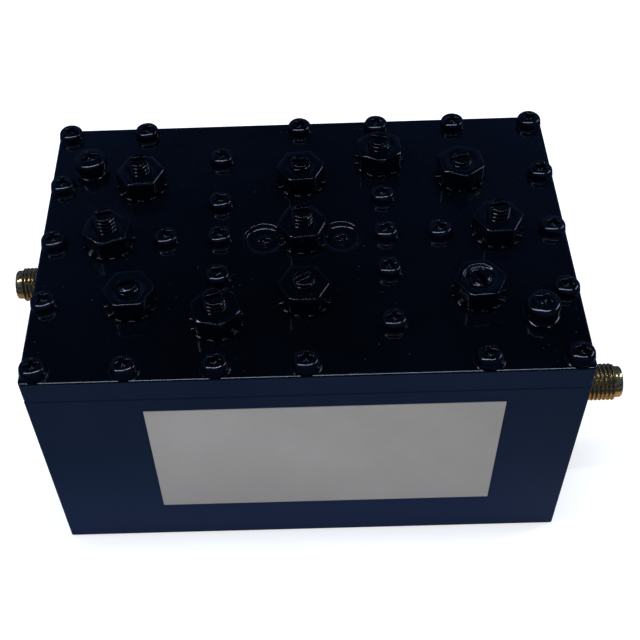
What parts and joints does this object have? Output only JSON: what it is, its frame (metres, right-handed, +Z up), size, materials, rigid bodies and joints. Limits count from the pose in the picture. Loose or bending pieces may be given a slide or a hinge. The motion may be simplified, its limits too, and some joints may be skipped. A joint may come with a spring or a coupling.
{
  "type": "coaxial cavity bandpass filter",
  "caption": "Milled radio filter box with a screwed cover, slotted tuning studs under lock nuts, and a threaded coaxial jack on each end.",
  "frame": {"origin": "centre of the underside, under the centre of the whole part's box", "axes": "+X from the left jack to the right jack, -Y to the labelled front, +Z up through the cover"},
  "size_m": [0.1076, 0.0572, 0.0525],
  "materials": {
    "navy_paint": "thick gloss paint, near-black navy",
    "navy_paint_satin": "satin paint, navy",
    "label_foil": "matt silver-grey film",
    "silver_plate": "bright silver plating",
    "gold_plate": "polished gold plating",
    "bright_steel": "bright plain steel",
    "white_insulator": "smooth white",
    "copper_wire": "tinned copper"
  },
  "bodies": {
    "root": {"housing": "navy_paint_satin", "cover_plate": "navy_paint", "front_label": "label_foil", "resonator_1": "silver_plate", "resonator_2": "silver_plate", "resonator_3": "silver_plate", "resonator_4": "silver_plate", "resonator_5": "silver_plate", "resonator_6": "silver_plate", "resonator_screws": "navy_paint", "tuning_stud_1": "navy_paint", "tuning_stud_2": "navy_paint", "tuning_stud_3": "navy_paint", "tuning_stud_4": "navy_paint", "tuning_stud_5": "navy_paint", "tuning_stud_6": "navy_paint", "coupling_stud_1": "navy_paint", "coupling_stud_2": "navy_paint", "coupling_stud_3": "navy_paint", "coupling_stud_4": "navy_paint", "coupling_stud_5": "navy_paint", "lock_nut_1": "navy_paint", "lock_nut_2": "navy_paint", "lock_nut_3": "navy_paint", "lock_nut_4": "navy_paint", "lock_nut_5": "navy_paint", "lock_nut_6": "navy_paint", "lock_nut_7": "navy_paint", "lock_nut_8": "navy_paint", "lock_nut_9": "navy_paint", "lock_nut_10": "navy_paint", "lock_nut_11": "navy_paint", "star_washers": "navy_paint", "cover_screws": "navy_paint", "recessed_screws": "navy_paint", "port_screw_left": "navy_paint", "port_screw_right": "navy_paint", "port_collars": "navy_paint", "jack_body_left": "gold_plate", "jack_body_right": "gold_plate", "jack_insulator_left": "white_insulator", "jack_insulator_right": "white_insulator", "jack_contact_left": "gold_plate", "jack_contact_right": "gold_plate", "tap_wire_left": "copper_wire", "tap_wire_right": "copper_wire", "jack_screws_left": "bright_steel", "jack_screws_right": "bright_steel"}
  },
  "joints": []
}
